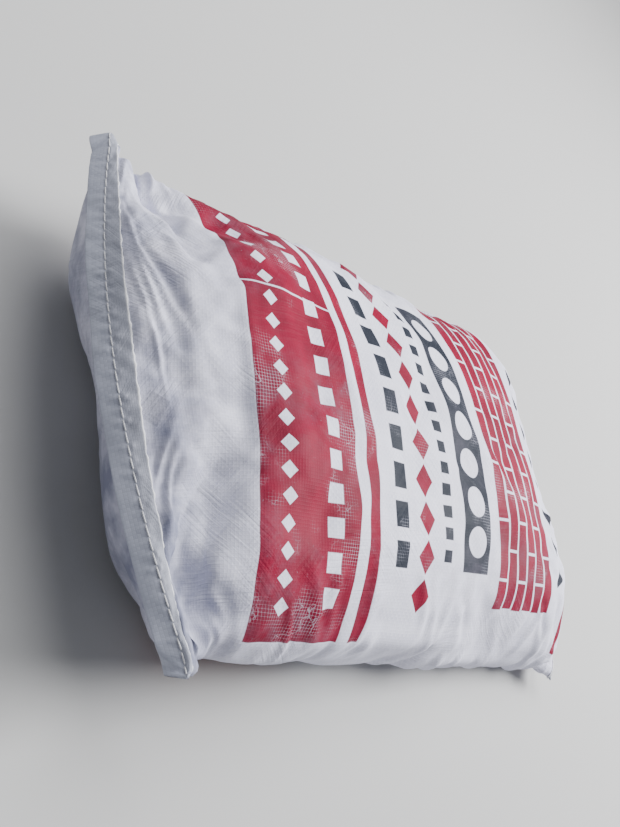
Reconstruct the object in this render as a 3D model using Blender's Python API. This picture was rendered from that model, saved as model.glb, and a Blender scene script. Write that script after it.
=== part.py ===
"""A filled cement bag: a woven sack, folded over and sewn shut at both ends, lying on its back.

Metres, +Z up. X runs along the bag, with its bottom end at -X and its mouth at +X. Y runs across.
The origin is on the floor, under the middle of the bag. The bag lies on z = 0.
"""

import math

import bmesh
import bpy
from mathutils import Vector

# The filled body, between its two seams: width and heights as they are at its middle
SEAM_TO_SEAM = 0.544
BODY_WIDTH = 0.360
BODY_HEIGHT = 0.132
SIDE_EDGE_HEIGHT = 0.043
PRESSED_FLAT = 0.002
CROWN_POWER = 3.4
CROWN_ROUNDNESS = 2.5
BELLY_ROUNDNESS = 7.3

# How much the body changes over each metre towards its mouth, because the fill has slid down
WIDENING = 0.056
CROWN_FALL = 0.105
SIDE_EDGE_FALL = 0.130

# The bottom end, at -X
BOTTOM_SEAM_HEIGHT = 0.108
BOTTOM_SEAM_BOW = 0.033
BOTTOM_SEAM_WIDTH = 0.407
BOTTOM_EAR_HEIGHT = 0.098
BOTTOM_ROUNDING = 0.078
BOTTOM_CROWN_EASE = 0.85
BOTTOM_HEM_RISE = math.radians(-34.0)

# The mouth end, at +X
MOUTH_SEAM_HEIGHT = 0.0225
MOUTH_SEAM_BOW = 0.025
MOUTH_SEAM_WIDTH = 0.407
MOUTH_EAR_HEIGHT = 0.024
MOUTH_ROUNDING = 0.050
MOUTH_CROWN_EASE = 0.30
MOUTH_HEM_RISE = math.radians(-40.0)

# Both ends
BOW_SHARPNESS = 6.0
EAR_SHARPNESS = 14.0
HEM_DEPTH = 0.017
HEM_THICKNESS = 0.0024

# The closing thread
THREAD_DIAMETER = 0.0012
STITCH_FROM_SEAM = 0.004
THREAD_CLEARANCE = 0.0003

# How finely the surfaces are divided
BODY_STEPS = 20
HEM_STEPS = 2
ACROSS_STEPS = 26
THREAD_STEPS = 44
THREAD_TURN_STEPS = 6


class BagEnd:
    """One sewn end: where its seam runs, how it bulges and which way its hem points."""

    def __init__(self, side, seam_reach, seam_height, bow, seam_width, ear_height, rounding, crown_ease,
                 hem_rise):
        self.side = side
        self.seam_reach = seam_reach
        self.seam_height = seam_height
        self.bow = bow
        self.half_seam = seam_width / 2
        self.ear_height = ear_height
        self.rounding = rounding
        self.crown_ease = crown_ease
        self.hem_out = Vector((side * math.cos(hem_rise), 0.0, math.sin(hem_rise)))
        self.hem_up = Vector((-side * math.sin(hem_rise), 0.0, math.cos(hem_rise)))

    def side_edge(self, along):
        """Reach, half width and height of the bag's side edge, 0 at its middle to 1 at the ear."""
        flare = along ** EAR_SHARPNESS
        reach = self.seam_reach * along - self.bow * along ** BOW_SHARPNESS
        body_half = 0.5 * (BODY_WIDTH + WIDENING * self.side * reach)
        body_edge = SIDE_EDGE_HEIGHT - SIDE_EDGE_FALL * self.side * reach
        half_width = body_half + (self.half_seam - body_half) * flare
        height = body_edge + (self.ear_height - body_edge) * flare
        return reach, half_width, height

    def top_line(self, along):
        """Reach and height of the upper sheet's centre line."""
        reach = self.seam_reach * along
        ease = (1.0 - along ** CROWN_POWER) ** self.crown_ease
        crown = BODY_HEIGHT - CROWN_FALL * self.side * reach - 0.5 * HEM_THICKNESS
        return reach, self.seam_height + (crown - self.seam_height) * ease

    def belly_line(self, along):
        """Reach and height of the lower sheet's centre line: straight, then a quarter of an ellipse."""
        straight = self.seam_reach - self.rounding
        reach = self.seam_reach * along
        if reach <= straight:
            return reach, -PRESSED_FLAT
        angle = math.pi / 2 * (reach - straight) / self.rounding
        height = self.seam_height - (self.seam_height + PRESSED_FLAT) * math.cos(angle)
        return straight + self.rounding * math.sin(angle), height

    def sheet_point(self, upper, along, across):
        """A point of a sheet: its centre line eased out to the side edge."""
        edge_reach, half_width, edge_height = self.side_edge(along)
        reach, height = self.top_line(along) if upper else self.belly_line(along)
        share = math.sin(math.pi / 2 * across)
        to_seam = along ** (EAR_SHARPNESS + 2.0)
        roundness = CROWN_ROUNDNESS if upper else BELLY_ROUNDNESS
        power = roundness + (2.0 - roundness) * to_seam
        ease = 0.5 + 0.5 * to_seam
        weight = max(0.0, 1.0 - abs(share) ** power) ** ease
        return Vector((
            self.side * (edge_reach + (reach - edge_reach) * (1.0 - share * share)),
            half_width * share,
            edge_height + (height - edge_height) * weight,
        ))

    def hem_point(self, depth, across):
        """A point in the middle of the hem's thickness, a given depth outside the seam."""
        return self.sheet_point(True, 1.0, across) + self.hem_out * depth


def overhang(hem_rise):
    """How far a hem stands out past its seam."""
    return HEM_DEPTH * math.cos(hem_rise) + 0.5 * HEM_THICKNESS * abs(math.sin(hem_rise))


BOTTOM_OVERHANG = overhang(BOTTOM_HEM_RISE)
MOUTH_OVERHANG = overhang(MOUTH_HEM_RISE)
HALF_LENGTH = 0.5 * (SEAM_TO_SEAM + BOTTOM_OVERHANG + MOUTH_OVERHANG)
BOTTOM_END = BagEnd(-1.0, HALF_LENGTH - BOTTOM_OVERHANG, BOTTOM_SEAM_HEIGHT, BOTTOM_SEAM_BOW,
                    BOTTOM_SEAM_WIDTH, BOTTOM_EAR_HEIGHT, BOTTOM_ROUNDING, BOTTOM_CROWN_EASE,
                    BOTTOM_HEM_RISE)
MOUTH_END = BagEnd(1.0, HALF_LENGTH - MOUTH_OVERHANG, MOUTH_SEAM_HEIGHT, MOUTH_SEAM_BOW,
                   MOUTH_SEAM_WIDTH, MOUTH_EAR_HEIGHT, MOUTH_ROUNDING, MOUTH_CROWN_EASE,
                   MOUTH_HEM_RISE)


def clear_scene():
    for item in list(bpy.data.objects):
        bpy.data.objects.remove(item)


def make_material(name, colour, roughness, metallic=0.0):
    material = bpy.data.materials.new(name)
    material.use_nodes = True
    shader = material.node_tree.nodes["Principled BSDF"]
    shader.inputs["Base Color"].default_value = (*colour, 1.0)
    shader.inputs["Roughness"].default_value = roughness
    shader.inputs["Metallic"].default_value = metallic
    return material


def place_sheet(verts, half_steps, upper):
    """Moves a flat square grid, -1 to 1 each way, onto the upper or the lower sheet of the sack."""
    lift = 0.5 * HEM_THICKNESS * (1.0 if upper else -1.0)
    for vert in verts:
        along, across = vert.co.x, vert.co.y
        end = MOUTH_END if along > 0.0 else BOTTOM_END
        step = abs(along) * half_steps
        if step <= BODY_STEPS:
            share = math.sin(math.pi / 2 * min(1.0, step / BODY_STEPS))
            point = end.sheet_point(upper, share, across)
            vert.co = point + Vector((0.0, 0.0, lift))
        else:
            depth = HEM_DEPTH * (step - BODY_STEPS) / HEM_STEPS
            vert.co = end.hem_point(depth, across) + end.hem_up * lift


def make_sack(collection, material):
    """The woven sack and its fill, as one solid with a flat underside."""
    half_steps = BODY_STEPS + HEM_STEPS
    bm = bmesh.new()
    bmesh.ops.create_grid(bm, x_segments=2 * half_steps, y_segments=ACROSS_STEPS, size=1.0)
    upper = list(bm.verts)
    copied = bmesh.ops.duplicate(bm, geom=bm.verts[:] + bm.edges[:] + bm.faces[:])["geom"]
    lower = [item for item in copied if isinstance(item, bmesh.types.BMVert)]
    place_sheet(upper, half_steps, upper=True)
    place_sheet(lower, half_steps, upper=False)
    rims = [edge for edge in bm.edges if edge.is_boundary]
    bmesh.ops.bridge_loops(bm, edges=rims)
    whole = bm.verts[:] + bm.edges[:] + bm.faces[:]
    cut = bmesh.ops.bisect_plane(bm, geom=whole, dist=1e-6, plane_co=(0.0, 0.0, 0.0),
                                 plane_no=(0.0, 0.0, -1.0), clear_outer=True)["geom_cut"]
    underside_rim = [item for item in cut if isinstance(item, bmesh.types.BMEdge)]
    bmesh.ops.contextual_create(bm, geom=underside_rim)
    bmesh.ops.remove_doubles(bm, verts=bm.verts, dist=1e-5)
    bmesh.ops.recalc_face_normals(bm, faces=bm.faces)
    mesh = bpy.data.meshes.new("sack")
    bm.to_mesh(mesh)
    bm.free()
    mesh.shade_smooth()
    mesh.set_sharp_from_angle(angle=math.radians(40.0))
    mesh.materials.append(material)
    sack = bpy.data.objects.new("sack", mesh)
    collection.objects.link(sack)
    return sack


def stitch_route(end):
    """A closed loop along the upper face of a hem, round its corner and back along the lower."""
    offset = 0.5 * HEM_THICKNESS + THREAD_CLEARANCE + 0.5 * THREAD_DIAMETER
    points = []
    for run in (1.0, -1.0):
        for step in range(THREAD_STEPS + 1):
            across = run * (2.0 * step / THREAD_STEPS - 1.0)
            points.append(end.hem_point(STITCH_FROM_SEAM, across) + end.hem_up * offset * run)
        corner = end.hem_point(STITCH_FROM_SEAM, run)
        for step in range(1, THREAD_TURN_STEPS):
            angle = math.pi * step / THREAD_TURN_STEPS
            sideways = Vector((0.0, run * offset * math.sin(angle), 0.0))
            points.append(corner + end.hem_up * offset * run * math.cos(angle) + sideways)
    return points


def make_stitching(name, end, collection, material):
    """A closing thread, as a closed round tube."""
    curve = bpy.data.curves.new(name, "CURVE")
    curve.dimensions = "3D"
    curve.bevel_depth = 0.5 * THREAD_DIAMETER
    curve.bevel_resolution = 2
    points = stitch_route(end)
    spline = curve.splines.new("POLY")
    spline.points.add(len(points) - 1)
    for target, point in zip(spline.points, points):
        target.co = (*point, 1.0)
    spline.use_cyclic_u = True
    curve.materials.append(material)
    thread = bpy.data.objects.new(name, curve)
    collection.objects.link(thread)
    return thread


def main():
    clear_scene()
    bag = bpy.data.collections.new("cement_bag")
    bpy.context.scene.collection.children.link(bag)
    woven = make_material("woven_sack", (0.72, 0.73, 0.75), 0.5)
    thread = make_material("closing_thread", (0.86, 0.86, 0.84), 0.7)
    make_sack(bag, woven)
    make_stitching("bottom_stitching", BOTTOM_END, bag, thread)
    make_stitching("mouth_stitching", MOUTH_END, bag, thread)


main()
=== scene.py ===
"""The looks of a filled cement bag: a woven sack, folded over and sewn shut at both ends.

Metres, +Z up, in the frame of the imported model. X runs along the bag, with its bottom end at -X and
its mouth at +X. The bag lies on its back on the floor, z = 0.

The sack's fabric is known by its flat metres: "along" from -X to +X, and "around" the tube, once over
the upper sheet from -Y to +Y and back under the lower sheet.
"""

import logging
import math
from dataclasses import dataclass
from enum import Enum

import bmesh
import bpy
import numpy as np
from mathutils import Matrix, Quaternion, Vector


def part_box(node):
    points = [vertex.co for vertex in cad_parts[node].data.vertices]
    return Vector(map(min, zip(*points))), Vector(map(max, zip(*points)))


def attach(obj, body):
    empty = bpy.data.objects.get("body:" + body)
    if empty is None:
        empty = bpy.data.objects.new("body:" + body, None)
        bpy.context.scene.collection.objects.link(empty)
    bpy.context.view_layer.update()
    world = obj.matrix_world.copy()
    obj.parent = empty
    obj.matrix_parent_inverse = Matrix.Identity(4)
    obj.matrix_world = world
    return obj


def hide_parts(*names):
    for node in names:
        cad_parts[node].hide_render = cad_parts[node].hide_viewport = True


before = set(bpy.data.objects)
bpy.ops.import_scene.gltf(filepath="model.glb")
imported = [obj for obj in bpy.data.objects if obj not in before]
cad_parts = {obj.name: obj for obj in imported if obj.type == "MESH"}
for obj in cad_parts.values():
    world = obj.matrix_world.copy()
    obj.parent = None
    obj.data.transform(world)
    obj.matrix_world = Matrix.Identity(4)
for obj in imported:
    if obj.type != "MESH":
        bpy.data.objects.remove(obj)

Array = np.ndarray
Pair = tuple[float, float]
Colour = tuple[float, ...]

log = logging.getLogger("cement_bag")
MERGE = 1e-6
SHORTEST = 1e-12


def srgb(red: int, green: int, blue: int) -> Colour:
    """Turns a colour as a screen shows it, 0 to 255, into the linear one that shaders take.

    Args:
        red: The red part.
        green: The green part.
        blue: The blue part.

    Returns:
        The linear colour with a full alpha.
    """
    parts = [value / 255 for value in (red, green, blue)]
    linear = [part / 12.92 if part <= 0.04045 else ((part + 0.055) / 1.055) ** 2.4 for part in parts]
    return (linear[0], linear[1], linear[2], 1.0)


def unit(vectors: Array) -> Array:
    """Scales the vectors along an array's last axis to length one."""
    return vectors / np.maximum(np.linalg.norm(vectors, axis=-1, keepdims=True), SHORTEST)


def smooth_step(values: Array, low: float, high: float) -> Array:
    """Eases from 0 at low to 1 at high."""
    share = np.clip((values - low) / (high - low), 0.0, 1.0)
    return share * share * (3.0 - 2.0 * share)


def running_total(steps: Array) -> Array:
    """Sums steps up, from 0 before the first one."""
    return np.concatenate([[0.0], np.cumsum(steps)])


def grid_of(first: Array, second: Array) -> Array:
    """Pairs two coordinates, one of them along rows and one along columns, over the grid that they span."""
    return np.stack(np.broadcast_arrays(first, second), -1)


def add_object(name: str, data: bpy.types.ID) -> bpy.types.Object:
    """Makes an object and puts it in the scene.

    Args:
        name: The object's name.
        data: Its mesh, camera or light.

    Returns:
        The object, at the origin.
    """
    item = bpy.data.objects.new(name, data)
    bpy.context.scene.collection.objects.link(item)
    return item


def discard(item: bpy.types.Object) -> None:
    """Takes an object and its mesh out of the file.

    Args:
        item: The object.
    """
    mesh = item.data
    bpy.data.objects.remove(item)
    bpy.data.meshes.remove(mesh)


def surface_object(name: str, places: Array, flat: Array) -> bpy.types.Object:
    """Makes a piece from a grid of places, welded where its edges meet.

    Args:
        name: The piece's name.
        places: Rows and columns of points, in metres.
        flat: The same grid's flat metres, kept as the UV map "flat".

    Returns:
        The piece, at the origin, shaded smooth, with its faces pointing out.
    """
    rows, columns = places.shape[:2]
    mesh = bpy.data.meshes.new(name)
    bm = bmesh.new()
    bmesh.ops.create_grid(bm, x_segments=columns - 1, y_segments=rows - 1, size=1.0)
    bm.to_mesh(mesh)
    bm.clear()
    mesh.vertices.foreach_set("co", places.astype(np.float32).ravel())
    corners = np.empty(len(mesh.loops), dtype=np.int32)
    mesh.loops.foreach_get("vertex_index", corners)
    layer = mesh.uv_layers.new(name="flat")
    layer.uv.foreach_set("vector", flat.reshape(-1, 2)[corners].astype(np.float32).ravel())
    bm.from_mesh(mesh)
    bmesh.ops.remove_doubles(bm, verts=bm.verts, dist=MERGE)
    bmesh.ops.holes_fill(bm, edges=bm.edges, sides=0)
    bmesh.ops.recalc_face_normals(bm, faces=bm.faces)
    bm.to_mesh(mesh)
    bm.free()
    mesh.shade_smooth()
    return add_object(name, mesh)


class End(Enum):
    """The two sewn ends of the bag, by the sign of their X."""

    BOTTOM = -1.0
    MOUTH = 1.0

    @property
    def stitching(self) -> str:
        """The name of the frame's node for this end's closing thread."""
        return self.piece("stitching")

    def piece(self, kind: str) -> str:
        """The name of this end's piece of a kind."""
        return f"{self.name.lower()}_{kind}"


@dataclass(frozen=True)
class SeamLine:
    """A seam as the frame has it: its reach and its height, each a parabola across the bag."""

    end: End
    reach: float
    bow: float
    height: float
    droop: float
    half_width: float

    @classmethod
    def from_frame(cls, end: End) -> "SeamLine":
        """Reads a seam off the closing thread that the frame holds.

        Args:
            end: Which end of the bag.

        Returns:
            The seam line that runs along the middle of that thread.
        """
        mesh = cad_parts[end.stitching].data
        places = np.empty(len(mesh.vertices) * 3)
        mesh.vertices.foreach_get("co", places)
        places = places.reshape(-1, 3)
        squared = places[:, 1] ** 2
        bow, reach = np.polyfit(squared, places[:, 0] * end.value, 1)
        droop, height = np.polyfit(squared, places[:, 2], 1)
        low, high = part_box(end.stitching)
        return cls(end, float(reach), float(bow), float(height), float(droop), (high[1] - low[1]) / 2)

    def at(self, y: float) -> Vector:
        """The seam's point at a place across the bag."""
        x = self.end.value * (self.reach + self.bow * y * y)
        return Vector((x, y, self.height + self.droop * y * y))


@dataclass
class FilledSack:
    """The woven tube, filled: two flat sheets of fabric, blown up against the floor by their fill."""

    width: float = 0.420
    length: float = 0.645
    cell: float = 0.0095
    start_bulge: float = 0.020
    start_height: float = 0.040
    start_shift: float = 0.001
    free_ear: float = 0.08
    draw_frames: int = 20
    frames: int = 50
    fill_pressure: float = 1.268
    fill_density: float = 0.9
    vertex_mass: float = 0.0016
    floor_gap: float = 0.0036
    bed_in: float = 0.0004
    calm_passes: int = 16
    calm_share: float = 0.8
    calm_reach: Pair = (0.035, 0.085)
    calm_side: float = 0.03
    ear_fullness: float = 0.8
    ear_length: float = 0.125
    ear_spread: float = 0.075

    @property
    def rows(self) -> int:
        """How many cells of cloth lie along the bag."""
        return round(self.length / self.cell)

    @property
    def columns(self) -> int:
        """How many cells of cloth lie across one sheet."""
        return round(self.width / self.cell)

    def settle(self, seams: dict[End, SeamLine]) -> Array:
        """Lets the fill swell the sack, with its seams where the frame has them.

        Args:
            seams: The seam line of each end.

        Returns:
            The settled cloth's points, rows along the bag by columns around it.
        """
        sack = self._flat_sack()
        self._draw_in(sack, seams)
        self._simulate(sack)
        net = self._with_full_ears(self._calmed(self._read_net(sack))) - np.array([0.0, 0.0, self.bed_in])
        discard(sack)
        for action in list(bpy.data.actions):
            bpy.data.actions.remove(action)
        return net

    def _flat_sack(self) -> bpy.types.Object:
        """Makes two grids, joined all round, that hold their flat place as a UV map in metres.

        Returns:
            The sack, with its lower sheet marked.
        """
        bm = bmesh.new()
        bmesh.ops.create_grid(bm, x_segments=self.rows, y_segments=self.columns, size=0.5)
        flat = bm.loops.layers.uv.new("flat")
        sheet = bm.faces.layers.int.new("lower_sheet")
        for vert in bm.verts:
            vert.co.x *= self.length
            vert.co.y *= self.width
        for face in bm.faces:
            for loop in face.loops:
                loop[flat].uv = loop.vert.co.xy
        copied = bmesh.ops.duplicate(bm, geom=bm.verts[:] + bm.edges[:] + bm.faces[:])["geom"]
        lower = [item for item in copied if isinstance(item, bmesh.types.BMFace)]
        bmesh.ops.reverse_faces(bm, faces=lower)
        for face in lower:
            face[sheet] = 1
            for vert in face.verts:
                if not vert.is_boundary:
                    vert.co.z = -self.cell
        for vert in bm.verts:
            if vert.co.z == 0.0 and not vert.is_boundary:
                vert.co.z = self.cell
        bmesh.ops.remove_doubles(bm, verts=bm.verts, dist=self.cell * 0.05)
        mesh = bpy.data.meshes.new("loose_cloth")
        bm.to_mesh(mesh)
        bm.free()
        return add_object("loose_cloth", mesh)

    def _draw_in(self, sack: bpy.types.Object, seams: dict[End, SeamLine]) -> None:
        """Starts the sheets just apart, and draws their seams in to where the frame has them.

        Args:
            sack: The flat sack.
            seams: The seam line of each end.
        """
        group = sack.vertex_groups.new(name="seam")
        flat = sack.shape_key_add(name="flat", from_mix=False)
        sewn = sack.shape_key_add(name="sewn", from_mix=False)
        for vert, start, goal in zip(sack.data.vertices, flat.data, sewn.data):
            u = vert.co.x / (self.length / 2)
            v = vert.co.y / (self.width / 2)
            side = np.sign(vert.co.z)
            swell = (1.0 - u * u) * (1.0 - v * v)
            start.co.x = vert.co.x + self.start_shift
            start.co.z = self.start_height + side * self.start_bulge * math.sqrt(max(0.0, swell))
            goal.co = start.co
            end = End.MOUTH if u > 0.0 else End.BOTTOM
            if abs(u) > 1.0 - 1e-4:
                goal.co = seams[end].at(v * seams[end].half_width)
                hold = min(1.0, (1.0 - abs(v)) / self.free_ear)
                group.add([vert.index], hold, "REPLACE")
        sewn.value = 0.0
        sewn.keyframe_insert("value", frame=1)
        sewn.value = 1.0
        sewn.keyframe_insert("value", frame=self.draw_frames)

    def _simulate(self, sack: bpy.types.Object) -> None:
        """Runs the cloth with the fill's pressure, and keeps its last frame as the mesh.

        Args:
            sack: The cloth, with its shape keys and its seam group.
        """
        bpy.ops.mesh.primitive_plane_add(size=3.0, location=(0.0, 0.0, -self.floor_gap))
        ground = bpy.context.object
        ground.modifiers.new("ground", "COLLISION")
        ground.collision.thickness_outer = 0.002
        ground.collision.cloth_friction = 20.0
        cloth = sack.modifiers.new("cloth", "CLOTH")
        rule = cloth.settings
        rule.quality = 8
        rule.mass = self.vertex_mass
        rule.tension_stiffness = rule.compression_stiffness = 60.0
        rule.shear_stiffness = 8.0
        rule.bending_stiffness = 0.05
        rule.tension_damping = rule.compression_damping = 4.0
        rule.shear_damping = 5.0
        rule.bending_damping = 0.5
        rule.air_damping = 1.0
        rule.use_pressure = True
        rule.uniform_pressure_force = self.fill_pressure
        rule.pressure_factor = 1.0
        rule.fluid_density = self.fill_density
        rule.vertex_group_mass = "seam"
        cloth.collision_settings.collision_quality = 3
        cloth.collision_settings.distance_min = 0.002
        cloth.point_cache.frame_start = 1
        cloth.point_cache.frame_end = self.frames
        for number in range(1, self.frames + 1):
            bpy.context.scene.frame_set(number)
        graph = bpy.context.evaluated_depsgraph_get()
        settled = bpy.data.meshes.new_from_object(sack.evaluated_get(graph))
        bpy.context.scene.frame_set(1)
        sack.modifiers.clear()
        sack.shape_key_clear()
        sack.data = settled
        bpy.data.objects.remove(ground)

    def _read_net(self, sack: bpy.types.Object) -> Array:
        """Sorts the settled cloth's vertices by their flat place.

        Args:
            sack: The settled cloth.

        Returns:
            Its points, rows along the bag by columns around it.
        """
        mesh = sack.data
        flat = mesh.uv_layers["flat"].uv
        sheet = mesh.attributes["lower_sheet"].data
        net = np.empty((self.rows + 1, 2 * self.columns, 3))
        for face in mesh.polygons:
            for loop in face.loop_indices:
                row = round((flat[loop].vector.x / self.length + 0.5) * self.rows)
                column = round((flat[loop].vector.y / self.width + 0.5) * self.columns)
                if sheet[face.index].value:
                    column = (2 * self.columns - column) % (2 * self.columns)
                net[row, column] = mesh.vertices[mesh.loops[loop].vertex_index].co
        return net

    def _calmed(self, net: Array) -> Array:
        """Eases the tight folds that the coarse cloth leaves beside its seams, away from the sides.

        Args:
            net: The settled cloth's points, rows along the bag by columns around it.

        Returns:
            The eased points. The seams stay where they are.
        """
        from_seam = self.length / 2 - np.abs(np.linspace(-0.5, 0.5, self.rows + 1)) * self.length
        from_side = np.mod(np.arange(2 * self.columns), self.columns) * self.cell
        from_side = np.minimum(from_side, self.width - from_side)
        near = 1.0 - smooth_step(from_seam, *self.calm_reach)
        off_side = smooth_step(from_side, 0.0, self.calm_side)[None, :]
        share = (self.calm_share * near[:, None] * off_side)[1:-1, :, None]
        calm = net.copy()
        for _ in range(self.calm_passes):
            around = np.roll(calm, 1, axis=1)[1:-1] + np.roll(calm, -1, axis=1)[1:-1]
            mean = 0.25 * (calm[:-2] + calm[2:] + around)
            calm[1:-1] += share * (mean - calm[1:-1])
        return calm

    def _with_full_ears(self, net: Array) -> Array:
        """Draws each ear's side edge out towards a straight line, as its stiff folded corner stands out.

        Args:
            net: The cloth's points, rows along the bag by columns around it.

        Returns:
            The points with their ears drawn out.
        """
        full = net.copy()
        reach = round(self.ear_length / self.cell)
        for side in (0, self.columns):
            from_side = np.abs(np.mod(np.arange(2 * self.columns) - side + self.columns, 2 * self.columns)
                               - self.columns) * self.cell
            share = self.ear_fullness * (1.0 - smooth_step(from_side, 0.0, self.ear_spread))
            for rows in (np.arange(reach + 1), self.rows - np.arange(reach + 1)):
                edge = net[rows, side]
                run = running_total(np.linalg.norm(np.diff(edge, axis=0), axis=1))
                part = (run / run[-1])[:, None]
                straight = edge[0] * (1.0 - part) + edge[-1] * part
                full[rows] += (straight - edge)[:, None, :] * share[None, :, None]
        return full


class FabricSurface:
    """The settled cloth as one smooth surface over its flat metres, closed around the tube."""

    def __init__(self, net: Array, length: float, width: float) -> None:
        """Keeps the net, with one more row past each end so that the seams stay in place.

        Args:
            net: The settled cloth's points, rows along the bag by columns around it.
            length: The flat sack's length.
            width: The flat sack's width, half the way around the tube.
        """
        before = 2.0 * net[:1] - net[1:2]
        after = 2.0 * net[-1:] - net[-2:-1]
        self.net = np.concatenate([before, net, after])
        self.rows = net.shape[0] - 1
        self.columns = net.shape[1]
        self.length = length
        self.width = width

    @staticmethod
    def _spline(share: Array) -> Array:
        """The weights of a uniform cubic B-spline.

        Args:
            share: Shares of a cell.

        Returns:
            The four weights at each share.
        """
        rest = 1.0 - share
        return np.stack([
            rest ** 3,
            3.0 * share ** 3 - 6.0 * share ** 2 + 4.0,
            3.0 * rest ** 3 - 6.0 * rest ** 2 + 4.0,
            share ** 3,
        ]) / 6.0

    def at(self, along: Array, around: Array) -> Array:
        """The surface's points over a grid of flat metres.

        Args:
            along: Metres along the bag, from -length / 2 to length / 2.
            around: Metres around the tube, from 0 to twice its width.

        Returns:
            Points, one row for each place along and one column for each place around.
        """
        rows = (along / self.length + 0.5) * self.rows
        row_cell = np.clip(np.floor(rows).astype(int), 0, self.rows - 1)
        row_weights = self._spline(rows - row_cell)
        columns = around / (2.0 * self.width) * self.columns
        column_cell = np.floor(columns).astype(int)
        column_weights = self._spline(columns - column_cell)
        points = np.zeros((len(along), len(around), 3))
        for row_step in range(4):
            band = self.net[row_cell + row_step] * row_weights[row_step][:, None, None]
            for step in range(4):
                picked = band[:, (column_cell + step - 1) % self.columns]
                points += picked * column_weights[step][None, :, None]
        return points

    def normals(self, along: Array, around: Array, step: float = 0.0015) -> Array:
        """The surface's outward normals over a grid of flat metres.

        Args:
            along: Metres along the bag.
            around: Metres around the tube.
            step: How far apart the points lie that the slopes are taken from.

        Returns:
            Unit vectors, one row for each place along and one column for each place around.
        """
        half = self.length / 2
        ahead = np.minimum(along + step, half)
        behind = np.maximum(along - step, -half)
        lengthwise = self.at(ahead, around) - self.at(behind, around)
        crosswise = self.at(along, around + step) - self.at(along, around - step)
        return unit(np.cross(lengthwise, crosswise))


@dataclass(frozen=True)
class CreaseZone:
    """A stretch of fabric that creases in one way. Its sizes are in metres and degrees."""

    count: int
    along: Pair
    around: Pair
    turn: Pair
    length: Pair
    width: Pair
    depth: Pair


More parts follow.
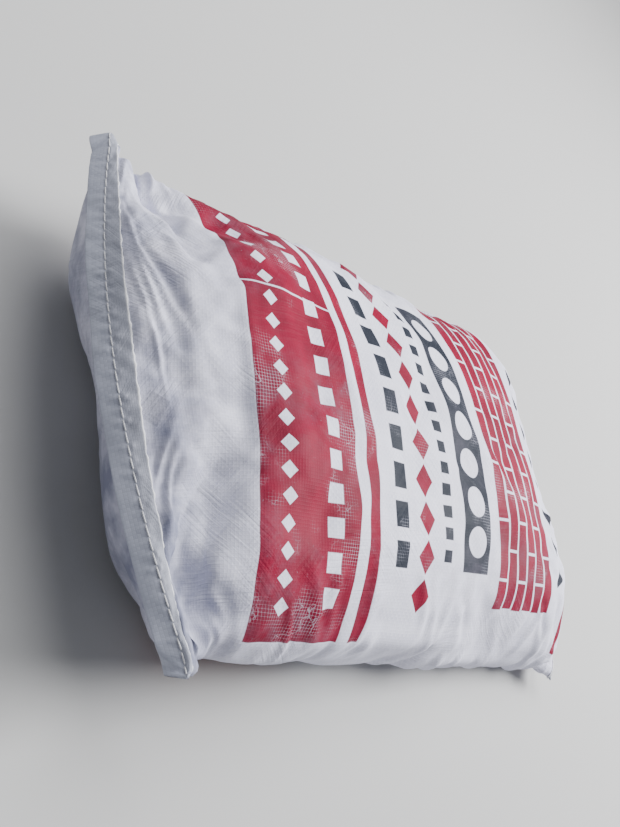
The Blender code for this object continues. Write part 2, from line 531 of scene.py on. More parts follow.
@dataclass
class FabricRelief:
    """The creases and lumps of the filled fabric, as heights over its flat metres."""

    surface: FabricSurface
    seed: int = 11
    lump_count: int = 18
    lump_height: float = 0.0011
    outward_odds: float = 0.65
    most_bend: float = 3.0
    trough_depth: float = 0.45
    trough_offset: float = 1.9
    seam_ease: float = 0.004
    flap_ease: Pair = (0.012, 0.032)
    lump_waves_around: tuple[int, int] = (3, 12)
    lump_waves_along: Pair = (20.0, 80.0)

    def zones(self) -> list[CreaseZone]:
        """The fabric's crease zones: both ends, the open faces, the sides and the four ears.

        Returns:
            The zones, in the order in which their creases are drawn.
        """
        half = self.surface.length / 2
        width = self.surface.width
        by_bottom = (-half + 0.01, -half + 0.09)
        off_ends = (-half + 0.05, half - 0.05)
        top = (0.01, width - 0.01)
        tube = (0.0, 2.0 * width)
        any_turn = (-90.0, 90.0)
        fine = (0.0032, 0.0070)
        sharp = (0.0032, 0.0048)
        zones = [
            CreaseZone(44, (-half, -half + 0.15), top, (20.0, 50.0), (0.040, 0.110), fine, (0.0004, 0.0013)),
            CreaseZone(26, (-half, -half + 0.14), top, (-55.0, -20.0), (0.040, 0.100), fine,
                       (0.0004, 0.0012)),
            CreaseZone(12, (-half + 0.03, -half + 0.16), (0.03, width - 0.03), (-50.0, 50.0),
                       (0.080, 0.180), (0.0100, 0.0200), (0.0012, 0.0030)),
            CreaseZone(9, by_bottom, (0.5 * width, width - 0.02), (-75.0, -48.0), (0.110, 0.210), sharp,
                       (0.0010, 0.0020)),
            CreaseZone(7, by_bottom, (0.02, 0.5 * width), (35.0, 65.0), (0.080, 0.170), sharp,
                       (0.0010, 0.0019)),
            CreaseZone(50, (half - 0.10, half), top, (-70.0, 70.0), (0.025, 0.085), (0.0025, 0.0055),
                       (0.0005, 0.0016)),
            CreaseZone(90, (-half, half), tube, any_turn, (0.040, 0.130), (0.0035, 0.0100),
                       (0.0004, 0.0014)),
            CreaseZone(36, off_ends, tube, any_turn, (0.090, 0.220), (0.0100, 0.0220), (0.0012, 0.0032)),
            CreaseZone(50, (-half, half), (width + 0.02, 2.0 * width - 0.02), any_turn, (0.030, 0.090),
                       (0.0025, 0.0060), (0.0003, 0.0009)),
        ]
        for middle, lean in ((0.0, 40.0), (width, -40.0)):
            beside = (middle - 0.06, middle + 0.06)
            zones.append(CreaseZone(60, off_ends, beside, (55.0, 125.0), (0.030, 0.110),
                                    (0.0030, 0.0080), (0.0006, 0.0024)))
            for side, ear in ((-1.0, (-half, -half + 0.06)), (1.0, (half - 0.06, half))):
                zones.append(CreaseZone(16, ear, beside, (side * lean - 25.0, side * lean + 25.0),
                                        (0.050, 0.140), (0.0032, 0.0080), (0.0008, 0.0024)))
        return zones

    def heights(self, along: Array, around: Array) -> Array:
        """How far each point stands out from the smooth surface.

        Args:
            along: Metres along the bag, one for each row.
            around: Metres around the tube, one for each column.

        Returns:
            Heights in metres, rows by columns.
        """
        dice = np.random.default_rng(self.seed)
        total = self._lumps(along, around, dice)
        for zone in self.zones():
            for _ in range(zone.count):
                self._add_crease(total, along, around, zone, dice)
        half = self.surface.length / 2
        from_seam = half - np.abs(along)
        upper = np.mod(around, 2.0 * self.surface.width) < self.surface.width
        under_flap = smooth_step(from_seam, *self.flap_ease)
        past_seam = smooth_step(from_seam, 0.0, self.seam_ease)
        return total * np.where(upper[None, :], under_flap[:, None], past_seam[:, None])

    def _lumps(self, along: Array, around: Array, dice: np.random.Generator) -> Array:
        """Low, broad lumps of the settled powder, which close all the way round the tube.

        Args:
            along: Metres along the bag.
            around: Metres around the tube.
            dice: The random numbers.

        Returns:
            Heights in metres, rows by columns.
        """
        total = np.zeros((len(along), len(around)))
        turn = math.pi / self.surface.width
        for _ in range(self.lump_count):
            waves_around = dice.integers(*self.lump_waves_around)
            waves_along = dice.uniform(*self.lump_waves_along)
            phase, lean = dice.uniform(0.0, 2.0 * math.pi, 2)
            ripple = np.sin(waves_along * along + phase)[:, None]
            total += ripple * np.sin(waves_around * turn * around + lean)[None, :]
        return total * self.lump_height / 3.0

    def _add_crease(self, total: Array, along: Array, around: Array, zone: CreaseZone,
                    dice: np.random.Generator) -> None:
        """Adds one soft-edged, slightly bent crease to the heights.

        Args:
            total: The heights so far, changed in place.
            along: Metres along the bag.
            around: Metres around the tube.
            zone: The zone that the crease is drawn from.
            dice: The random numbers.
        """
        middle_along = dice.uniform(*zone.along)
        middle_around = dice.uniform(*zone.around)
        turn = math.radians(dice.uniform(*zone.turn))
        reach = dice.uniform(*zone.length) / 2
        width = dice.uniform(*zone.width)
        depth = dice.uniform(*zone.depth) * (1.0 if dice.random() < self.outward_odds else -1.0)
        bend = dice.uniform(-self.most_bend, self.most_bend)
        circle = 2.0 * self.surface.width
        offset_around = np.mod(around - middle_around + circle / 2, circle) - circle / 2
        near_rows = np.nonzero(np.abs(along - middle_along) < reach + 3.0 * width)[0]
        near_columns = np.nonzero(np.abs(offset_around) < reach + 3.0 * width)[0]
        if len(near_rows) == 0 or len(near_columns) == 0:
            return
        x = (along[near_rows] - middle_along)[:, None]
        y = offset_around[near_columns][None, :]
        run = x * math.cos(turn) + y * math.sin(turn)
        off = -x * math.sin(turn) + y * math.cos(turn) + bend * (run * run - reach * reach / 3)
        taper = np.clip(1.0 - (run / reach) ** 2, 0.0, 1.0) ** 1.5
        ridge = np.exp(-np.abs(off / width) ** 1.6)
        trough = self.trough_depth * np.exp(-((off - self.trough_offset * width) / width) ** 2)
        total[np.ix_(near_rows, near_columns)] += depth * taper * (ridge - trough)


@dataclass
class SackSkin:
    """The sack's fabric between its two lines of stitches."""

    surface: FabricSurface
    relief: FabricRelief
    rows: int = 272
    columns: int = 352
    floor_clearance: float = 0.0002
    settle_height: float = 0.012
    middle_share: float = 0.3

    def build(self) -> bpy.types.Object:
        """Makes the fabric's mesh.

        Returns:
            The piece "sack_fabric", with its flat metres as a UV map.
        """
        along = np.linspace(-0.5, 0.5, self.rows + 1) * self.surface.length
        around = np.linspace(0.0, 2.0 * self.surface.width, self.columns + 1)
        places = self.surface.at(along, around)
        heights = self.relief.heights(along, around)
        heights *= smooth_step(places[..., 2], 0.0, self.settle_height)
        places += self.surface.normals(along, around) * heights[..., None]
        places[..., 2] = np.maximum(places[..., 2], self.floor_clearance)
        across = np.abs(np.mod(around + self.surface.width, 2.0 * self.surface.width) - self.surface.width)
        across[-1] = 0.0
        from_seam = self._metres_from_seam(places, around)
        flat = grid_of(from_seam[:, None], (across - self.surface.width / 2)[None, :])
        return surface_object("sack_fabric", places, flat)

    def _metres_from_seam(self, places: Array, around: Array) -> Array:
        """How far each row lies from the bottom seam, over the middle of the upper sheet.

        Args:
            places: The fabric's points, rows by columns.
            around: Metres around the tube, one for each column.

        Returns:
            Metres, one for each row.
        """
        middle = np.abs(around - self.surface.width / 2) < self.middle_share * self.surface.width
        steps = np.linalg.norm(np.diff(places[:, middle], axis=0), axis=-1).mean(axis=1)
        return running_total(steps)


@dataclass
class SewnHem:
    """One end of the tube, folded over onto the upper sheet, with its stitches through the middle."""

    surface: FabricSurface
    end: End
    fold_reach: float = 0.0125
    flap_reach: float = 0.0190
    half_thickness: float = 0.0006
    upper_face: float = 1.8
    inner_face: float = 0.35
    turn_depth: float = 1.5
    turn_height: float = 1.4
    turn_angles: tuple[float, ...] = (40.0, 75.0, 105.0, 140.0)
    edge_steps: tuple[Pair, ...] = ((0.0003, 1.5), (0.0002, 0.6))
    stitch_pitch: float = 0.0085
    stitch_sink: float = 0.00045
    stitch_spread: float = 0.0018
    pucker: float = 0.00035
    pucker_middle: float = 0.004
    pucker_spread: float = 0.003
    crumple: float = 0.00045
    crumple_waves: int = 14
    fray: float = 0.0005
    wave: float = 0.0020
    wave_count: int = 6
    wave_rates: Pair = (15.0, 90.0)
    ear_closing: float = 0.004
    lower_share: float = 0.4
    steadiness: float = 0.75
    lean_reach: float = 0.016
    lean_passes: int = 12
    level_share: float = 0.0
    end_slant: float = 0.85
    slant_reach: float = 0.045
    columns: int = 336
    seed: int = 5

    def profile(self) -> Array:
        """The hem's section, from under its stitches out round its fold and back over the flap.

        Returns:
            Points on it, each with its depth past the stitches, outwards below 0, and its height.
        """
        fold, flap, thick = -self.fold_reach, self.flap_reach, self.half_thickness
        across, tall = self.turn_depth * thick, self.turn_height * thick
        under = [(depth, -thick) for depth in np.linspace(0.0005, fold, 8)]
        turn = [(fold - across * math.sin(angle), tall - thick - tall * math.cos(angle))
                for angle in np.radians(self.turn_angles)]
        over = [(depth, self.upper_face * thick) for depth in np.linspace(fold, flap, 22)]
        edge = [(flap + past, height * thick) for past, height in self.edge_steps]
        inside = [(depth, self.inner_face * thick) for depth in np.linspace(flap - 0.0006, 0.0015, 5)]
        return np.array(under + turn + over + edge + inside)

    def run_at(self, depth: float) -> float:
        """How far round the section its upper side reaches a depth.

        Args:
            depth: The depth, inwards above 0.

        Returns:
            Metres from the section's first point.
        """
        section = self.profile()
        run = running_total(np.hypot(*np.diff(section, axis=0).T))
        over = section[:, 1] > self.half_thickness
        return float(np.interp(depth, section[over, 0], run[over]))

    def _flat_along(self, depth: Array) -> Array:
        """Turns depths inwards from the stitches into flat metres along the bag."""
        return self.end.value * (self.surface.length / 2 - np.maximum(depth, 0.0))

    def frame_across(self, across: Array) -> tuple[Array, Array, Array, Array]:
        """The stitch line with its directions.

        Args:
            across: Flat metres across the sheet, from 0 to its width.

        Returns:
            The stitch line's points, its direction across, the hem's outward direction and its normal.
        """
        line = self.surface.at(self._flat_along(np.zeros(1)), across)[0]
        inner = self._flat_along(np.array([self.lean_reach]))
        upper = unit(line - self.surface.at(inner, across)[0])
        lower = unit(self.surface.at(inner, 2.0 * self.surface.width - across)[0] - line)
        level = np.array([self.end.value, 0.0, 0.0])
        tangent = unit(np.gradient(line, axis=0))
        outward = upper + self.lower_share * lower + self.level_share * level
        outward = self._smoothed(outward, self.lean_passes)
        outward += self.steadiness * (np.mean(outward, axis=0) - outward)
        outward = unit(outward - tangent * np.sum(outward * tangent, axis=-1, keepdims=True))
        return line, tangent, outward, unit(self.end.value * np.cross(outward, tangent))

    @staticmethod
    def _smoothed(rows: Array, passes: int) -> Array:
        """Averages each row with its neighbours.

        Args:
            rows: The rows.
            passes: How many times.

        Returns:
            The smoothed rows.
        """
        for _ in range(passes):
            padded = np.concatenate([rows[:1], rows, rows[-1:]])
            rows = 0.25 * padded[:-2] + 0.5 * padded[1:-1] + 0.25 * padded[2:]
        return rows

    def place(self, across: Array, depth: Array, height: Array) -> Array:
        """Points on or off the hem.

        Args:
            across: Flat metres across the sheet, one for each row.
            depth: Depth from the stitches, inwards above 0, one for each column.
            height: Height over the hem's middle, rows by columns.

        Returns:
            Points, rows by columns.
        """
        line, tangent, outward, normal = self.frame_across(across)
        inner = self._flat_along(depth)
        order = np.argsort(inner)
        on_sheet = np.empty((len(across), len(depth), 3))
        sheet_normal = np.empty_like(on_sheet)
        on_sheet[:, order] = self.surface.at(inner[order], across).swapaxes(0, 1)
        sheet_normal[:, order] = self.surface.normals(inner[order], across).swapaxes(0, 1)
        dice = np.random.default_rng(self.seed)
        sway = np.zeros(len(across))
        for _ in range(self.wave_count):
            sway += np.sin(dice.uniform(*self.wave_rates) * across + dice.uniform(0.0, 6.3))
        outside = np.maximum(-depth, 0.0)[None, :, None]
        lift = sway[:, None, None] * self.wave / 3.0 * (outside / self.fold_reach) ** 1.5
        off_ear = smooth_step(across, 0.0, self.slant_reach)
        off_far_ear = smooth_step(self.surface.width - across, 0.0, self.slant_reach)
        slant = self.end_slant * (off_far_ear - off_ear)[:, None, None] * outside
        past = line[:, None, :] + outward[:, None, :] * outside + normal[:, None, :] * lift
        past += tangent[:, None, :] * slant
        inward = smooth_step(depth, -0.001, 0.005)[None, :, None]
        base = np.where(depth[None, :, None] > 0.0, on_sheet, past)
        direction = unit(normal[:, None, :] * (1.0 - inward) + sheet_normal * inward)
        return base + direction * height[..., None]

    def build(self) -> bpy.types.Object:
        """Makes the folded hem.

        Returns:
            The hem as a closed strip, with its flat metres as a UV map.
        """
        width = self.surface.width
        across = np.linspace(0.0, width, self.columns + 1)
        section = self.profile()
        section = np.concatenate([section, section[:1]])
        depth, height = section.T
        from_ear = np.minimum(across, width - across)
        closing = np.sqrt(1.0 - np.clip(1.0 - from_ear / self.ear_closing, 0.0, 1.0) ** 2)
        phase = np.cos(2.0 * math.pi * across / self.stitch_pitch)
        near_stitch = np.exp(-(depth / self.stitch_spread) ** 2)[None, :]
        beside = np.exp(-((np.abs(depth) - self.pucker_middle) / self.pucker_spread) ** 2)[None, :]
        over = (height > self.half_thickness)[None, :]
        sink = near_stitch * self.stitch_sink * (0.75 + 0.25 * phase[:, None])
        dice = np.random.default_rng(self.seed)
        uneven = 1.0 + self._smoothed(dice.normal(0.0, 1.6, len(across)), 4)
        puff = beside * self.pucker * (-phase * uneven)[:, None]
        crumple = np.zeros((len(across), len(depth)))
        for _ in range(self.crumple_waves):
            run_across, run_inward, phase_shift = dice.uniform((50.0, -300.0, 0.0), (420.0, 300.0, 6.3))
            crumple += np.sin(run_across * across[:, None] + run_inward * depth[None, :] + phase_shift)
        crumple *= self.crumple / 4.0 * (1.0 - near_stitch)
        heights = height[None, :] * closing[:, None] + np.where(over, puff + crumple - sink, 0.35 * puff)
        fray = self._smoothed(dice.normal(0.0, self.fray, len(across)), 2)
        places = self.place(across, depth, heights)
        edge = (depth > self.flap_reach - 0.001)[None, :, None]
        _, _, outward, _ = self.frame_across(across)
        places = places + np.where(edge, outward[:, None, :] * fray[:, None, None], 0.0)
        run = running_total(np.hypot(np.diff(depth), np.diff(height)))
        flat = grid_of(run[None, :], (across - width / 2)[:, None])
        return surface_object(self.end.piece("hem"), places, flat)


@dataclass
class ChainStitch:
    """The closing thread: straight stitches on the hem's upper face and a chain on its lower face."""

    hem: SewnHem
    radius: float = 0.0005
    sides: int = 8
    points: int = 10
    margin: float = 0.004
    loop_half_width: float = 0.0011
    loop_dip: float = 0.0007
    needle_depth: float = 0.0004
    needle_lean: float = 0.00035
    end_share: float = 0.25

    def build(self) -> bpy.types.Object:
        """Makes the thread of one end.

        Returns:
            The needle thread and the looper's chain as one piece.
        """
        pitch = self.hem.stitch_pitch
        count = int((self.hem.surface.width - 2.0 * self.margin) / pitch)
        start = (self.hem.surface.width - count * pitch) / 2
        step = np.arange(count * self.points + 1) / self.points
        across = start + step * pitch
        share = np.mod(step, 1.0)
        arch = 1.0 - np.abs(2.0 * share - 1.0) ** 5
        top = self.hem.upper_face * self.hem.half_thickness - self.hem.stitch_sink + self.radius
        needle = -self.needle_depth + (top + self.needle_depth) * arch
        swing = self.loop_half_width * np.sin(math.pi * share) ** 0.7
        dip = self.loop_dip * np.abs(np.cos(math.pi * share)) ** 3
        looper = -self.hem.half_thickness - self.radius - dip
        strands = ((self.needle_lean * (share - 0.5), needle), (-swing, looper), (swing, looper))
        pieces = [self._strand(across, sideways, height) for sideways, height in strands]
        return self._joined(self.hem.end.piece("thread"), pieces)

    def _strand(self, across: Array, sideways: Array, height: Array) -> bpy.types.Object:
        """One length of thread, as a round tube.

        Args:
            across: Flat metres across the sheet.
            sideways: How far the strand lies outside the stitch line.
            height: How high it lies over the hem's middle.

        Returns:
            The tube, with the length and the girth in metres as its UV map.
        """
        line, tangent, outward, normal = self.hem.frame_across(across)
        path = line + outward * sideways[:, None] + normal * height[:, None]
        run = unit(np.gradient(path, axis=0))
        side = unit(np.cross(run, normal))
        up = np.cross(side, run)
        angles = np.linspace(0.0, 2.0 * math.pi, self.sides + 1)
        girth = np.full(len(path), self.radius)
        girth[[0, -1]] = self.end_share * self.radius
        ring = side[:, None, :] * np.cos(angles)[None, :, None]
        ring = ring + up[:, None, :] * np.sin(angles)[None, :, None]
        places = path[:, None, :] + ring * girth[:, None, None]
        length = running_total(np.linalg.norm(np.diff(path, axis=0), axis=-1))
        return surface_object("strand", places, grid_of(length[:, None], (angles * self.radius)[None, :]))

    @staticmethod
    def _joined(name: str, pieces: list[bpy.types.Object]) -> bpy.types.Object:
        """Puts several strands into one piece.

        Args:
            name: The piece's name.
            pieces: The strands, which are used up.

        Returns:
            The piece.
        """
        bm = bmesh.new()
        for piece in pieces:
            bm.from_mesh(piece.data)
            discard(piece)
        mesh = bpy.data.meshes.new(name)
        bm.to_mesh(mesh)
        bm.free()
        mesh.shade_smooth()
        return add_object(name, mesh)


class Signal:
    """A value that a node tree works out. Each of its methods adds a node to that tree."""

    def __init__(self, socket: bpy.types.NodeSocket) -> None:
        """Keeps the output socket that carries the value."""
        self.socket = socket

    @property
    def tree(self) -> bpy.types.NodeTree:
        """The node tree that the value belongs to."""
        return self.socket.id_data

    def maths(self, operation: str, *others: "Value", clamp: bool = False) -> "Signal":
        """Works out one number.

        Args:
            operation: The Math node's operation.
            others: The values that follow this one, in order.
            clamp: Whether the result is kept between 0 and 1.

        Returns:
            The result.
        """
        values = dict(enumerate((self, *others)))
        return add_node(self.tree, "ShaderNodeMath", values, operation=operation, use_clamp=clamp)

    def __add__(self, other: "Value") -> "Signal":
        """The sum of this value and another."""
        return self.maths("ADD", other)

    def __sub__(self, other: "Value") -> "Signal":
        """This value less another."""
        return self.maths("SUBTRACT", other)

    def __rsub__(self, other: float) -> "Signal":
        """A plain number less this value."""
        return self.maths("MULTIPLY_ADD", -1.0, other)

    def __mul__(self, other: "Value") -> "Signal":
        """The product of this value and another."""
        return self.maths("MULTIPLY", other)

    def __truediv__(self, other: "Value") -> "Signal":
        """This value over another."""
        return self.maths("DIVIDE", other)

    def __abs__(self) -> "Signal":
        """This value without its sign."""
        return self.maths("ABSOLUTE")

    def ramp(self, low: "Value", high: "Value") -> "Signal":
        """Eases from 0 where this value is low to 1 where it is high."""
        given = {"Value": self, "From Min": low, "From Max": high}
        return add_node(self.tree, "ShaderNodeMapRange", given, "Result", interpolation_type="SMOOTHSTEP")

    def mix(self, first: "Value", second: "Value") -> "Signal":
        """Mixes two numbers, with this value as the second one's share."""
        return add_node(self.tree, "ShaderNodeMix", {0: self, 2: first, 3: second}, data_type="FLOAT")

    def blend(self, first: "Value", second: "Value") -> "Signal":
        """Mixes two colours, with this value as the second one's share."""
        return add_node(self.tree, "ShaderNodeMix", {0: self, 6: first, 7: second}, 2, data_type="RGBA")

    def noise(self, clouds: "Clouds") -> "Signal":
        """A cloudy value from 0 to 1 over this place."""
        given = {"Vector": self, "Scale": clouds.count, "Detail": clouds.detail, "Roughness": clouds.rough}
        return add_node(self.tree, "ShaderNodeTexNoise", given, "Fac")

    def turned(self, turn: float, size: Pair, origin: Pair) -> "Signal":
        """This place as seen from a turned and stretched set of axes.

        Args:
            turn: How far the axes are turned, in degrees.
            size: How long each axis's unit is.
            origin: Where the axes start.

        Returns:
            The place in units of those axes.
        """
        given = {"Vector": self, "Location": (*origin, 0.0), "Rotation": (0.0, 0.0, math.radians(turn)),
                 "Scale": (*size, 1.0)}
        return add_node(self.tree, "ShaderNodeMapping", given, "Vector", vector_type="TEXTURE")

    def parts(self) -> list["Signal"]:
        """The three parts of this place."""
        return all_outputs(add_node(self.tree, "ShaderNodeSeparateXYZ", {0: self}))


Value = Signal | float | tuple[float, ...]


@dataclass(frozen=True)
class Clouds:
    """A noise: how many clouds it has to each unit of its place, and how much finer and rougher it goes."""

    count: float
    detail: float
    rough: float = 0.5


def feed(socket: bpy.types.NodeSocket, value: Value) -> None:
    """Joins a value to an input socket, or sets the socket's own value.

    Args:
        socket: The input socket.
        value: The value.
    """
    if isinstance(value, Signal):
        value.tree.links.new(value.socket, socket)
    else:
        socket.default_value = value


def add_node(tree: bpy.types.NodeTree, kind: str, given: dict[int | str, Value], output: int | str = 0,
             **settings: object) -> Signal:
    """Adds a node.

    Args:
        tree: Where the node goes.
        kind: The node's type.
        given: What goes into its sockets, by their place or label.
        output: Which of its outputs is wanted.
        settings: Its own settings, such as operation or data_type.

    Returns:
        That output.
    """
    node = tree.nodes.new(kind)
    for name, value in settings.items():
        setattr(node, name, value)
    for key, value in given.items():
        feed(node.inputs[key], value)
    return Signal(node.outputs[output])


def all_outputs(signal: Signal) -> list[Signal]:
    """Every output of the node that a signal comes from."""
    return [Signal(socket) for socket in signal.socket.node.outputs]


class Effect:
    """A shader node group that finishes share. It is built when it is first placed."""

    title = "effect"
    inputs = {"Flat": "NodeSocketVector"}
    outputs: tuple[str, ...] = ()

    def wire(self, *given: Signal) -> list[Signal]:
        """Works out the group's outputs, in order, from its inputs."""
        raise NotImplementedError

    def place(self, *values: Value) -> list[Signal]:
        """Puts the group in a material.

        Args:
            values: The group's inputs, in order. The first one is a signal of that material.

        Returns:
            The group's outputs, in order.
        """
        group = bpy.data.node_groups.get(self.title) or self._build()
        given = dict(enumerate(values))
        return all_outputs(add_node(values[0].tree, "ShaderNodeGroup", given, node_tree=group))

    def _build(self) -> bpy.types.NodeTree:
        """Makes the group.

        Returns:
            The group's node tree, with its sockets.
        """
        group = bpy.data.node_groups.new(self.title, "ShaderNodeTree")
        for label, kind in self.inputs.items():
            group.interface.new_socket(label, in_out="INPUT", socket_type=kind)
        for label in self.outputs:
            group.interface.new_socket(label, in_out="OUTPUT", socket_type="NodeSocketFloat")
        given = group.nodes.new("NodeGroupInput").outputs
        made = self.wire(*[Signal(given[label]) for label in self.inputs])
        for socket, value in zip(group.nodes.new("NodeGroupOutput").inputs, made):
            feed(socket, value)
        return group


class TapeWeave(Effect):
    """A plain weave of flat tapes: their height, the tone of each tape, and the gaps between them."""

    title = "tape_weave"
    inputs = {"Flat": "NodeSocketVector", "Tape Width": "NodeSocketFloat"}
    outputs = ("Height", "Tone", "Gap")
    crossing_tape = 0.37
    tape_tone = 0.65

    def wire(self, flat: Signal, tape_width: Signal) -> list[Signal]:
        """Works out the weave.

        Args:
            flat: The fabric's flat metres.
            tape_width: The width of a tape, in metres.

        Returns:
            The height, the tone and the gap, each from 0 to 1.
        """
        pillows = []
        numbers = []
        for part in flat.parts()[:2]:
            counted = part / tape_width
            numbers.append(counted.maths("FLOOR"))
            off = counted.maths("FRACT") * 2.0 - 1.0
            squared = off * off
            pillows.append(1.0 - squared * squared)
        over = (numbers[0] + numbers[1]).maths("FLOORED_MODULO", 2.0)
        number = over.mix(numbers[0], numbers[1] + self.crossing_tape)
        tape = add_node(flat.tree, "ShaderNodeTexWhiteNoise", {"W": number}, "Value", noise_dimensions="1D")
        height = pillows[0] * pillows[1]
        return [height, tape * self.tape_tone + over * (1.0 - self.tape_tone), height.ramp(0.45, 0.1)]


class Crinkle(Effect):
    """Fine straight ridges that cross the weave slantwise, in patches, where stiff fabric was bent.

    Each set of ridges has its turn in degrees, their length and width in metres, and how many patches
    lie in a metre.
    """

    title = "crinkle"
    outputs = ("Height",)
    wave = Clouds(1.0, 3.0)
    ridge = (0.30, 0.0)
    patch = (0.46, 0.66)
    sets = ((47.0, 0.045, 0.0042, 17.0), (-40.0, 0.055, 0.0050, 13.0), (6.0, 0.080, 0.0060, 11.0))

    def wire(self, flat: Signal) -> list[Signal]:
        """Works out the ridges.

        Args:
            flat: The fabric's flat metres.

        Returns:
            The ridges' height, from 0 to 1.
        """
        height: Value = 0.0
        for turn, length, width, patches in self.sets:
            wave = flat.turned(turn, (length, width), (turn, 0.0)).noise(self.wave)
            sharp = abs(wave * 2.0 - 1.0).ramp(*self.ridge)
            cloud = flat.turned(0.0, (1.0, 1.0), (turn, turn)).noise(Clouds(patches, 1.0))
            height = sharp * cloud.ramp(*self.patch) + height
        return [height]


class Smudge(Effect):
    """Dull patches from dusty hands and other bags."""

    title = "smudge"
    inputs = {"Place": "NodeSocketVector"}
    outputs = ("Patch", "Speck")
    broad = Clouds(9.0, 4.0, 0.62)
    fine = Clouds(70.0, 5.0, 0.7)
    specks = Clouds(420.0, 2.0, 0.6)

    def wire(self, place: Signal) -> list[Signal]:
        """Works out the patches.

        Args:
            place: A place in metres.

        Returns:
            Broad patches and fine specks, each from 0 to 1.
        """
        broad = place.noise(self.broad)
        patch = broad.ramp(0.42, 0.72) * place.noise(self.fine).ramp(0.30, 0.75)
        speck = place.noise(self.specks).ramp(0.66, 0.74)
        return [patch, speck * broad.ramp(0.45, 0.6)]


class Ink(Enum):
    """What a printed shape leaves on the fabric."""

    CRIMSON = "crimson"
    SLATE = "slate"
    BARE = "bare"


class Mark(Enum):
    """The plain shapes that a printed row repeats."""

    BAR = "bar"
    DIAMOND = "diamond"
    DISC = "disc"
    TRIANGLE = "triangle"


@dataclass(frozen=True)
class PrintedRow:
    """A row of like marks across the bag. Its places are metres from the bottom seam and the middle.

    A row whose pitch is 0 is one plain block.
    """

    ink: Ink
    along: Pair
    reach: float
    mark: Mark = Mark.BAR
    pitch: float = 0.0
    width: float = 0.0
    shift: float = 0.0


@dataclass(frozen=True)
class BrickPanel:
    """A printed panel of bricks, each row half a brick on from the last."""

    count: int = 6
    start: float = 0.392
    depth: float = 0.0142
    step: float = 0.0166
    reach: float = 0.156
    pitch: float = 0.052
    length: float = 0.0495

    def rows(self) -> list[PrintedRow]:
        """Lays the panel's rows.

        Returns:
            The rows of bricks.
        """
        rows = []
        for number in range(self.count):
            start = self.start + self.step * number
            shift = self.pitch / 2 * (number % 2)
            rows.append(PrintedRow(Ink.CRIMSON, (start, start + self.depth), self.reach, Mark.BAR,
                                   self.pitch, self.length, shift))
        return rows


class BagPrint(Effect):
    """The bag's printed bands and rows of marks."""

    title = "bag_print"
    outputs = ("Crimson", "Slate")
    edge = 0.0006
    rows = (
        PrintedRow(Ink.CRIMSON, (0.095, 0.190), 0.188),
        PrintedRow(Ink.BARE, (0.095, 0.190), 0.170, Mark.BAR, 0.25, 0.0016, 0.185),
        PrintedRow(Ink.BARE, (0.112, 0.126), 0.1729, Mark.DIAMOND, 0.0182, 0.0125),
        PrintedRow(Ink.BARE, (0.158, 0.172), 0.168, Mark.BAR, 0.0240, 0.0140, 0.0120),
        PrintedRow(Ink.CRIMSON, (0.202, 0.215), 0.188),
        PrintedRow(Ink.SLATE, (0.236, 0.252), 0.135, Mark.BAR, 0.030, 0.020),
        PrintedRow(Ink.CRIMSON, (0.266, 0.288), 0.165, Mark.DIAMOND, 0.030, 0.027),
        PrintedRow(Ink.SLATE, (0.302, 0.314), 0.126, Mark.BAR, 0.018, 0.010, 0.009),
        PrintedRow(Ink.SLATE, (0.332, 0.374), 0.128),
        PrintedRow(Ink.BARE, (0.340, 0.366), 0.119, Mark.DISC, 0.034, 0.026),
        *BrickPanel().rows(),
        PrintedRow(Ink.SLATE, (0.508, 0.523), 0.135, Mark.TRIANGLE, 0.030, 0.020),
        PrintedRow(Ink.CRIMSON, (0.540, 0.546), 0.188),
        PrintedRow(Ink.CRIMSON, (0.552, 0.566), 0.188),
    )

    def wire(self, flat: Signal) -> list[Signal]:
        """Works out the two inks.

        Args:
            flat: The fabric's flat metres.

        Returns:
            How much crimson and how much slate the fabric carries, each from 0 to 1.
        """
        along, across, _ = flat.parts()
        aside = abs(across)
        inks: dict[Ink, Value] = {Ink.CRIMSON: 0.0, Ink.SLATE: 0.0}
        for row in self.rows:
            mask = self._mask(row, along, across, aside)
            if row.ink is Ink.BARE:
                left = 1.0 - mask
                inks = {ink: left * amount for ink, amount in inks.items()}
            else:
                inks[row.ink] = mask.maths("MAXIMUM", inks[row.ink])
        return [inks[Ink.CRIMSON], inks[Ink.SLATE]]

    def _mask(self, row: PrintedRow, along: Signal, across: Signal, aside: Signal) -> Signal:
        """Where a row has its marks.

        Args:
            row: The row.
            along: Metres from the bottom seam.
            across: Metres from the bag's middle line.
            aside: The same, without its sign.

        Returns:
            1 on the marks and 0 off them, with a slightly soft edge.
        """
        half = (row.along[1] - row.along[0]) / 2
        ahead = along - (row.along[0] + row.along[1]) / 2
        off = abs(ahead)
        inside = half - off
        if row.pitch:
            beside = (across + row.shift).maths("PINGPONG", row.pitch / 2)
            taper = beside * (-2.0 * half / row.width)
            if row.mark is Mark.BAR:
                room = row.width / 2 - beside
            elif row.mark is Mark.DIAMOND:
                room = taper + inside
            elif row.mark is Mark.TRIANGLE:
                room = taper + (half - ahead) * 0.5
            else:
                room = half - (beside * beside + off * off).maths("SQRT")
            inside = inside.maths("MINIMUM", room)
        inside = inside.maths("MINIMUM", row.reach - aside)
        return inside.maths("MULTIPLY_ADD", 1.0 / self.edge, 0.5, clamp=True)


